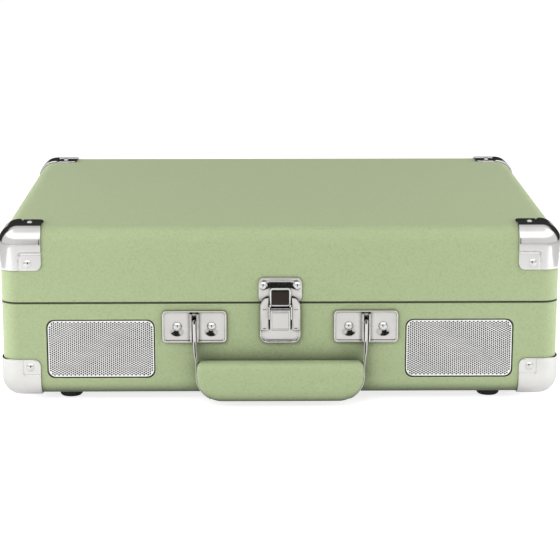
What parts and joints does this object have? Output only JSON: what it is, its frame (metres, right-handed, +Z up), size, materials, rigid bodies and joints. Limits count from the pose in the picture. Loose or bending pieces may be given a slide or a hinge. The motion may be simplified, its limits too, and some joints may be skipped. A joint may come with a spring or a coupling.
{
  "type": "suitcase record player",
  "caption": "Portable suitcase record player in green leatherette with chrome caps, a draw latch, a folding handle, front speakers and a belt-driven turntable under the lid.",
  "frame": {"origin": "middle of the whole outline, on the floor under the feet", "axes": "+X to the right of someone facing the front, -Y towards that person, +Z up"},
  "size_m": [0.3602, 0.2922, 0.1161],
  "materials": {
    "covering": "fine-grained sage green leatherette, satin",
    "chrome": "polished plate",
    "grille_metal": "satin silver, perforated",
    "wood": "unfinished board",
    "black_panel": "matt black board",
    "rubber": "matt moulded rubber",
    "steel": "plated steel",
    "cone_paper": "black pressed paper",
    "deck": "fine-textured black deck",
    "brass": "turned",
    "board": "green circuit board",
    "platter_metal": "pressed steel",
    "felt": "black felt",
    "lining": "cream paper-backed cloth",
    "black_plastic": "moulded black plastic",
    "red_plastic": "moulded red plastic",
    "arm_metal": "satin tube"
  },
  "bodies": {
    "base": {"base_frame": "wood", "base_covering": "covering", "bottom_panel": "black_panel", "panel_screws": "steel", "rubber_feet": "rubber", "foot_screws": "steel", "base_corner_caps": "chrome", "base_nails": "chrome", "speaker_grille_left": "grille_metal", "speaker_grille_right": "grille_metal", "speaker_baskets": "steel", "speaker_cones": "cone_paper", "corner_blocks": "wood", "deck_plate": "deck", "deck_screws": "steel", "platter_bearing": "brass", "drive_motor": "steel", "circuit_board": "board", "board_posts": "black_panel", "potentiometers": "steel", "slide_switches": "steel", "rear_jack_panel": "black_panel", "rear_jacks": "chrome", "tonearm_base": "black_plastic", "arm_rest": "black_plastic", "handle_brackets": "chrome", "front_pins": "steel", "latch_body": "chrome", "base_hinge_leaves": "chrome", "hinge_pins": "steel", "base_hinge_screws": "chrome", "drive_belt": "rubber"},
    "lid": {"lid_frame": "wood", "lid_covering": "covering", "lid_lining": "lining", "lid_corner_caps": "chrome", "lid_nails": "chrome", "latch_strike": "chrome", "lid_hinge_leaves": "chrome", "lid_hinge_screws": "chrome"},
    "handle": {"handle_frame": "chrome", "handle_grip": "covering"},
    "latch_lever": {"latch_lever": "chrome"},
    "latch_hook": {"latch_hook": "chrome"},
    "platter": {"platter": "platter_metal", "slipmat": "felt", "spindle": "chrome"},
    "motor_pulley": {"motor_pulley": "brass"},
    "tonearm_yoke": {"tonearm_yoke": "black_plastic"},
    "tonearm": {"tonearm_tube": "arm_metal", "headshell": "black_plastic", "cartridge": "red_plastic", "counterweight": "black_plastic"},
    "cue_lever": {"cue_lever": "chrome"},
    "lift_platform": {"lift_platform": "black_plastic"},
    "arm_clip": {"arm_clip": "black_plastic"},
    "volume_knob": {"volume_knob": "chrome"},
    "function_knob": {"function_knob": "chrome"},
    "speed_switch": {"speed_switch": "black_plastic"},
    "adapter_45": {"adapter_45": "black_plastic"}
  },
  "joints": [
    {"name": "lid_hinge", "type": "hinge", "parent": "base", "child": "lid", "pos_m": [0, 0.1431, 0.066], "axis": [-1, 0, 0], "range_deg": [0, 100]},
    {"name": "handle_swing", "type": "hinge", "parent": "base", "child": "handle", "pos_m": [0, -0.1341, 0.054], "axis": [-1, 0, 0], "range_deg": [0, 120]},
    {"name": "latch_lever_swing", "type": "hinge", "parent": "base", "child": "latch_lever", "pos_m": [0, -0.1331, 0.0623], "axis": [-1, 0, 0], "range_deg": [0, 100]},
    {"name": "latch_hook_swing", "type": "hinge", "parent": "latch_lever", "child": "latch_hook", "pos_m": [0, -0.1348, 0.0575], "axis": [-1, 0, 0], "range_deg": [-100, 0]},
    {"name": "platter_spin", "type": "hinge", "parent": "base", "child": "platter", "pos_m": [-0.02, 0.0039, 0.06], "axis": [0, 0, -1], "continuous": true},
    {"name": "pulley_spin", "type": "hinge", "parent": "base", "child": "motor_pulley", "pos_m": [-0.0794, 0.0633, 0.06], "axis": [0, 0, -1], "continuous": true},
    {"name": "tonearm_swing", "type": "hinge", "parent": "base", "child": "tonearm_yoke", "pos_m": [0.122, 0.0899, 0.07], "axis": [0, 0, -1], "range_deg": [0, 42]},
    {"name": "tonearm_lift", "type": "hinge", "parent": "tonearm_yoke", "child": "tonearm", "pos_m": [0.122, 0.0899, 0.082], "axis": [-1, 0, 0], "range_deg": [0, 2.5]},
    {"name": "cue_lever_swing", "type": "hinge", "parent": "base", "child": "cue_lever", "pos_m": [0.148, 0.0659, 0.067], "axis": [-1, 0, 0], "range_deg": [0, 55]},
    {"name": "lift_rise", "type": "slide", "parent": "base", "child": "lift_platform", "axis": [0, 0, 1], "range_m": [0, 0.0016]},
    {"name": "arm_clip_swing", "type": "hinge", "parent": "base", "child": "arm_clip", "pos_m": [0.1325, -0.0151, 0.0827], "axis": [0, -1, 0], "range_deg": [0, 56]},
    {"name": "volume_turn", "type": "hinge", "parent": "base", "child": "volume_knob", "pos_m": [-0.145, -0.0911, 0.06], "axis": [0, 0, -1], "range_deg": [0, 280]},
    {"name": "function_turn", "type": "hinge", "parent": "base", "child": "function_knob", "pos_m": [-0.145, -0.0571, 0.06], "axis": [0, 0, -1], "range_deg": [0, 60]},
    {"name": "speed_slide", "type": "slide", "parent": "base", "child": "speed_switch", "axis": [0, 1, 0], "range_m": [-0.005, 0.005]},
    {"name": "adapter_rise", "type": "slide", "parent": "base", "child": "adapter_45", "axis": [0, 0, 1], "range_m": [0, 0.015]}
  ],
  "couplings": [
    {"joint": "latch_hook_swing", "follows": "latch_lever_swing", "ratio": -1},
    {"joint": "pulley_spin", "follows": "platter_spin", "ratio": 15},
    {"joint": "tonearm_lift", "follows": "cue_lever_swing", "ratio": 0.045455},
    {"joint": "lift_rise", "follows": "cue_lever_swing", "m_per_rad": 0.0016355}
  ]
}
